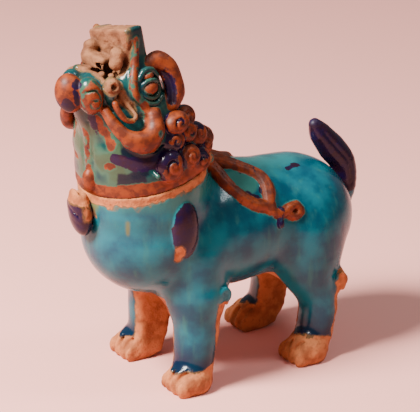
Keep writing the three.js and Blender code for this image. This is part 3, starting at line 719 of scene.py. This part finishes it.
def fired_clay(name, glaze, deep, pale, olive, pool, clay_light, clay_dark):
    """Glazed pottery: coloured glaze over bare clay, with thick dark pools, worn places and painted shade in the
    hollows.
    """
    s = Shader(name)
    fine = s.maths("SUBTRACT", s.noise(0.8, 3, 5), 0.5)
    ragged = s.maths("SUBTRACT", s.noise(2.2, 4, 61), 0.5)
    patch = s.noise(13, 4, 40)
    streak = s.noise(4, 3, 80, (1, 1, 5))
    wander = s.maths("MULTIPLY_ADD", ragged, 1.6, s.maths("MULTIPLY", fine, 0.7))

    def area(mark, blur):
        return s.step(s.maths("ADD", s.mark(mark), wander), -blur, blur)

    bare = area("bare", 0.1)
    plum = area("plum", 0.18)
    rust = area("rust", 0.15)
    rim = s.step(s.maths("ADD", s.mark("bare"), wander), -1.1, -0.1)
    halo = s.maths("MULTIPLY", s.step(s.maths("ADD", s.mark("rust"), wander), -0.9, -0.2), 0.6)
    base = s.mix(s.step(patch, 0.35, 0.68), glaze, deep)
    base = s.mix(s.step(streak, 0.52, 0.8, 0, 0.35), base, pale)
    base = s.mix(s.step(s.noise(0.7, 2, 12), 0.62, 0.8, 0, 0.3), base, pale)
    base = s.mix(s.maths("MULTIPLY", s.mark("thin"), 0.8), base, pale)
    base = s.mix(s.maths("MULTIPLY", s.mark("olive"), 0.75), base, olive)
    base = s.mix(s.maths("MULTIPLY", s.mark("pool"), 0.92), base, pool)
    base = s.mix(halo, base, pale)
    light_clay = s.mix(s.step(s.noise(6, 3, 19), 0.4, 0.65), clay_light, clay_dark)
    clay = s.mix(s.step(s.noise(1.6, 4, 9), 0.52, 0.78, 0, 0.55), light_clay, colour(104, 56, 30))
    # painted shade: the bare clay is made darker in its hollows
    clay = s.mix(s.maths("MULTIPLY", s.mark("hollow_shade"), 0.7), clay, colour(58, 28, 14))
    worn = s.mix(s.step(s.noise(4, 4, 23), 0.4, 0.62), colour(116, 48, 15), colour(78, 30, 13))
    worn = s.mix(s.step(s.noise(1.1, 3, 29), 0.58, 0.74, 0, 0.6), worn, colour(44, 14, 12))
    # painted shade: the orange-brown glaze is made darker in its hollows
    worn = s.mix(s.maths("MULTIPLY", s.mark("hollow_shade"), 0.6), worn, colour(34, 14, 12))
    purple = s.mix(s.step(s.noise(5, 3, 31), 0.38, 0.66), colour(21, 8, 42), colour(31, 11, 27))
    purple = s.mix(s.step(s.noise(1.3, 2, 35), 0.6, 0.8, 0, 0.3), purple, colour(66, 34, 58))
    base = s.mix(rust, base, worn)
    base = s.mix(plum, base, purple)
    base = s.mix(s.maths("MULTIPLY", rim, 0.7), base, colour(112, 80, 42))
    base = s.mix(bare, base, clay)
    s.feed(s.shader.inputs["Base Color"], base)
    s.feed(s.shader.inputs["Specular IOR Level"], 0.25)
    dull = s.maths("MAXIMUM", s.step(bare, 0, 1, 0.2, 0.82), s.step(rust, 0, 1, 0.2, 0.5))
    s.feed(s.shader.inputs["Roughness"], s.maths("ADD", dull, s.maths("MULTIPLY", fine, 0.12)))
    grain = s.maths("MULTIPLY", s.noise(0.9, 3, 3), s.step(bare, 0, 1, 0.12, 1))
    height = s.maths("ADD", grain, s.maths("MULTIPLY", s.noise(5, 2, 15), 0.5))
    bump = s.node("ShaderNodeBump", 0, Strength=0.6, Distance=0.0005, Height=height)
    s.feed(s.shader.inputs["Normal"], bump)
    return s.material


def hollowness(clay, points):
    """How far the clay's surface is sunk below its surroundings at each point, in mm: negative on a ridge."""
    spread = np.clip(clay.field, -4, 4)
    for axis in range(3):
        for _ in range(2):
            reach = max(1, round(1.1 / clay.cell))
            total = sum(np.roll(spread, k, axis) for k in range(-reach, reach + 1))
            spread = total / (2 * reach + 1)
    return -clay.sample(spread, points)[0]


def body_marks(clay, points):
    x, y, z = points.T
    side = abs(y)
    coarse = Noise(3)
    wobble = coarse.rough(points, 5)
    broad = Noise(9).rough(points, 14)
    sunk = hollowness(clay, points)
    feet = np.maximum(10.8 + 0.45 * np.maximum(x + 33, 0) - z, -50)
    feet_hind = 12.6 - 0.1 * (x - 30) - z
    feet = np.where(x < 5, feet, feet_hind) + 1.2 * wobble
    front_back = np.where(x < 5, x + 22.4 + 0.05 * (z - 30), x - 44.6 - 0.12 * (z - 20))
    back_strip = np.minimum(front_back, 45 - z) + 0.6 * wobble
    inner = np.minimum(LEG_GAP / 2 + 3 - side, 45.5 - z) + 0.6 * wobble
    rim = in_axes(points, NECK)[:, 2] + 3.8 + 1.2 * wobble
    chip = inside_of(points, *pair(ball((-42.4, -31, 73.6), (2.4, 4, 4.4))))
    pendant_chip = inside_of(points, ball((-75.5, -8.4, 95), (6, 2.4, 7)), ball((-79, 0, 102.5), (5, 4, 2.6)))
    streak = inside_of(points, *pair(strand([(-63, -21, 90), (-63.5, -21, 84)], [1.2, 0.8])))
    leaves = inside_of(points, ball((-76, 1, 91), (6, 8, 12.5), (0, -8, 0)),
                       *pair(ball((-38.4, -31, 84), (7.2, 5, 13.6), (0, 0, 6))))
    pendant_chip = np.minimum(pendant_chip, leaves + 0.6)
    bare = np.max([feet, back_strip, inner, rim, chip + 0.6 * wobble, pendant_chip + 0.7 * wobble], axis=0)
    flame = inside_of(points, strap(TAIL_LINE, [w + 1 for w in TAIL_WIDTHS], [8, 8, 8, 7, 6, 4], TAIL_ACROSS))
    flame = np.minimum(flame, z - 73)
    tail_tip = inside_of(points, ball((53, 0, 110), (3.4, 4, 2.6)))
    ribbon = inside_of(points, *pair(strand(UPPER_RIBBON, [3.9] * 9), strand(LOWER_RIBBON, [3.4] * 7),
                                     strand(END_LOOP, [2.4] * 5), strand(END_RIBBON, [2.6] * 4)))
    rust = np.maximum(ribbon + 0.5 * wobble, tail_tip)
    border = inside_of(points, *pair(strand(UPPER_RIBBON[2:7], [5.2] * 5), strand(LOWER_RIBBON[2:], [4.7] * 5)))
    border = np.min([border, 0.3 - ribbon, inside_of(points, *pair(ball((1, -17, 94), (13, 12, 9), (30, 0, 20))))], axis=0)
    smudge = inside_of(points, ball((34, -12, 95), (7, 4, 4))) - 1.5 + 2 * coarse.at(points, 3)
    drop = inside_of(points, *pair(strand(DROP, [1.7, 1.4, 1.5])))
    plum = np.max([leaves, flame, border - 0.6 + wobble, smudge, drop], axis=0) + 0.3 * wobble
    pool = np.maximum(soft_step(-z, -27, -13), soft_step(sunk, 0.05, 0.9))
    near_neck = soft_step(in_axes(points, NECK)[:, 2], -16, -5)
    leaf = soft_step(inside_of(points, *pair(ball((1, -16, 94.5), (9, 8, 6), (30, 0, 20)))), -0.5, 1)
    back = soft_step(z, 92, 99)
    thin = np.clip(0.6 * back + 0.7 * near_neck * soft_step(broad, -0.4, 0.6) + leaf + soft_step(-sunk, 0.3, 1.2), 0, 1)
    olive = np.maximum(soft_step(rim, -5, -1.6) * soft_step(broad, -0.3, 0.3), soft_step(streak, -0.6, 0.6))
    # the last mark is painted shade: it grows with how deep a point sits in a hollow
    return {"bare": bare, "plum": plum, "rust": rust, "pool": pool, "thin": thin, "olive": olive,
            "hollow_shade": soft_step(sunk, 0.15, 1.0)}


def head_marks(clay, points):
    x, y, z = points.T
    side = abs(y)
    coarse = Noise(4)
    wobble = coarse.rough(points, 4)
    broad = Noise(12).rough(points, 9)
    sunk = hollowness(clay, points)
    slab = np.min([-3.4 - x, 13.4 - side, z - 55, x + 16], axis=0)
    top = np.minimum(z - 70.5, 12.5 - side)
    inside_mouth = np.min([8.5 - side, z - 49.5, x + 19], axis=0)
    fangs = inside_of(points, *pair(strand(FANGS, [4, 4]), strand(LIP[:5], [1.9] * 5), ball((-18, -14, 53), (4, 4, 4))))
    rim = 6.6 + 0.5 * wobble - z
    bare = np.max([slab, top, inside_mouth, fangs, inside_of(points, *pair(strand(SLOT, [2.6] * 3)))], axis=0)
    bare += 0.25 * wobble
    rust = inside_of(points, *pair(
        strand(CHEEK_BAND, [w + 0.7 for w in CHEEK_WIDTHS]), strand(LOW_BAND, [3.4, 4, 4, 3.4]), strand(CHEEK_RIDGE, [1.7] * 7), strand(EAR, [5] * 6),
        ball((-2, -20.5, 46.9), (3.4, 3, 2.6)), ball((-1.2, -20, 52.6), (2.4, 2, 1.4)), strand(WORN_LOBE, [3, 4, 3]),
        ball((-26.4, -12.3, 16.1), (3, 3.2, 1.9)), strand(LIP[3:], [1.7] * 6)),
        strand(THROAT_RIDGE, [2, 1.9, 2.2]), ball((-30.5, 0, 7.5), (3.6, 3.9, 6)), ball((-33.4, 0, 53), (8, 8, 10.6)),
        ball((-26.6, -8.5, 50), (5.2, 6, 8)))
    curls = inside_of(points, *pair(*[ball(m, [r + 1 for r in radii]) for m, radii in CURLS]))
    high = curls - 0.9 + 1.6 * coarse.at(points, 5) - 3.2 * np.clip(sunk, -1, 1)
    rust = np.max([rust + 0.5 * wobble - 1.2 * np.clip(sunk, 0, 2), np.minimum(high, curls), rim], axis=0)
    eye_rings = inside_of(points, *pair(strand(LOWER_LID, [0.9] * 5), strand(UPPER_LID, [0.9] * 5)))
    lines = inside_of(points, *pair(
        strand(TEAL_LINE, [1, 1, 1.1, 1.5, 1.7, 2, 2.4, 2.6]), strand(WING_STRIPE, [1] * 3),
        strand(WING_CURL, [0.9] * 8), ball((-8.2, -28, 28.7), (1.5, 2.6, 1.8))))
    rust = np.minimum(rust, -np.maximum(lines, eye_rings))
    navy = inside_of(points, *pair(strand(VALLEY, [2.2, 2.4, 3.2, 3.6, 3.6, 3])))
    low_band = np.minimum(13.5 - z, side - 12 - 0.2 * z)
    navy = np.maximum(navy, np.minimum(low_band, 26 - side) - 1) + 0.6 * wobble
    plum = inside_of(points, *pair(
        strand([(-25, -15, 19.5), (-20.5, -20.5, 17), (-15, -25, 15.5), (-9, -27.5, 15)], [2.4, 3, 3.4, 3]),
        strand(EAR_GROOVE, [2.2, 2.8, 2.8, 2]), strand([(-28, -7, 41), (-27.6, -7.4, 30)], [2, 1.6]),
        ball((-31.5, -4.6, 57.5), (2.4, 3.6, 2.4)), ball((-36.6, -3, 48.6), (3, 3.4, 4)),
        ball((-33.4, -6, 52), (1.4, 2, 4))))
    plum += 0.5 * wobble
    plum = np.maximum(plum, np.where(rust > 0, -rust, curls))
    pale = soft_step(np.minimum(22 - side, 36 - z), -2, 3) * soft_step(-x, 17, 23)
    thin = np.clip(pale * soft_step(broad, -0.7, 0.4) + 0.35 * soft_step(-sunk, 0.2, 0.9), 0, 1)
    crown = soft_step(x, 8, 20)
    # the last mark is painted shade: it grows with how deep a point sits in a hollow
    return {"bare": bare, "plum": plum, "rust": rust, "pool": np.maximum(soft_step(navy, -0.4, 0.6), 0.8 * soft_step(
        sunk, 0.1, 0.8)), "thin": thin, "olive": np.clip(crown + soft_step(broad, 0.2, 0.9) * 0.6, 0, 1),
        "hollow_shade": soft_step(sunk, 0.05, 0.7)}


def with_glaze(points, triangles, bare, low, seed):
    """Moves the points out by the glaze's thickness, roughens bare clay and keeps the flat seat or soles."""
    unevenness = Noise(seed)
    glazed = soft_step(-bare, -0.3, 0.5)
    rough = 0.16 * (1 - glazed) * unevenness.rough(points, 2.2) + 0.12 * glazed * unevenness.at(points, 9)
    lift = (0.38 * glazed + rough) * soft_step(points[:, 2], low + 0.2, low + 2)
    return points + lift[:, None] * normals_of(points, triangles)


def body_piece():
    clay = body_clay()
    points, triangles = surface(clay)
    hidden = inside_of(points, *[ball(m, [r - WALL + 1 for r in radii]) for m, radii in (CHEST, BARREL, RUMP)]) > 0
    points, triangles = coarsened(points, triangles, hidden, 2.5)
    marks = body_marks(clay, points)
    points = with_glaze(points, triangles, marks["bare"], 0, 21)
    material = fired_clay("turquoise_glaze", colour(8, 92, 104), colour(4, 60, 78), colour(46, 110, 98),
                          colour(98, 96, 44), colour(4, 12, 38), colour(172, 104, 62), colour(138, 78, 44))
    return mesh_object("glazed_body", placed(points), triangles, marks, material)


def head_piece():
    clay = head_clay()
    points, triangles = surface(clay)
    hidden = inside_of(points, ball((0, 0, 20), (21, 21, 21))) > 0
    points, triangles = coarsened(points, triangles, hidden, 2.5)
    marks = head_marks(clay, points)
    points = with_glaze(points, triangles, marks["bare"], SEAT_GAP, 22)
    turn = np.array(HEAD)
    material = fired_clay("teal_glaze", colour(10, 58, 56), colour(5, 38, 46), colour(56, 88, 68),
                          colour(50, 52, 24), colour(4, 10, 28), colour(124, 80, 52), colour(94, 56, 34))
    return mesh_object("glazed_head", placed(points @ turn[:3, :3].T + turn[:3, 3]), triangles, marks, material)


def plain_floor():
    s = Shader("pale_floor")
    s.feed(s.shader.inputs["Base Color"], colour(226, 158, 148))
    s.feed(s.shader.inputs["Roughness"], 0.9)
    mesh = bpy.data.meshes.new("floor")
    reach = 6.0
    mesh.from_pydata([(-reach, -reach, 0), (reach, -reach, 0), (reach, reach, 0), (-reach, reach, 0)], [],
                     [(0, 1, 2, 3)])
    mesh.materials.append(s.material)
    floor = bpy.data.objects.new("floor", mesh)
    bpy.context.scene.collection.objects.link(floor)


def lamp(name, direction, distance, size, power, tint):
    data = bpy.data.lights.new(name, "AREA")
    data.shape = "DISK"
    data.size = size
    data.energy = power
    data.color = tint
    light = bpy.data.objects.new(name, data)
    bpy.context.scene.collection.objects.link(light)
    towards = Vector(direction).normalized()
    light.location = Vector((0, 0, 0.08)) + towards * distance
    light.rotation_euler = towards.to_track_quat("Z", "Y").to_euler()


def studio():
    lamp("key", (-0.86, 0.0, 0.98), 0.92, 0.34, 42, (1, 0.95, 0.9))
    lamp("fill", (0.3, -0.3, 0.9), 1.5, 0.3, 7, (0.95, 0.97, 1))
    world = bpy.data.worlds.new("soft_room")
    world.use_nodes = True
    sky = world.node_tree.nodes["Background"]
    sky.inputs["Color"].default_value = (1, 0.9, 0.88, 1)
    sky.inputs["Strength"].default_value = 0.34
    bpy.context.scene.world = world


def camera():
    azimuth, elevation, distance = math.radians(-32), math.radians(21.5), 1.3
    target = Vector((0.0008, 0, 0.079))
    back = Vector((math.sin(azimuth) * math.cos(elevation), -math.cos(azimuth) * math.cos(elevation),
                   math.sin(elevation)))
    data = bpy.data.cameras.new("camera")
    data.lens = 235.1
    data.sensor_width = 36
    eye = bpy.data.objects.new("camera", data)
    bpy.context.scene.collection.objects.link(eye)
    eye.location = target + back * distance
    eye.rotation_euler = back.to_track_quat("Z", "Y").to_euler()
    bpy.context.scene.camera = eye


for piece, node, slot in ((body_piece(), "body", "body_glaze"), (head_piece(), "head_cover", "head_glaze")):
    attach(piece, "root")
    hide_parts(node)
plain_floor()
studio()
camera()
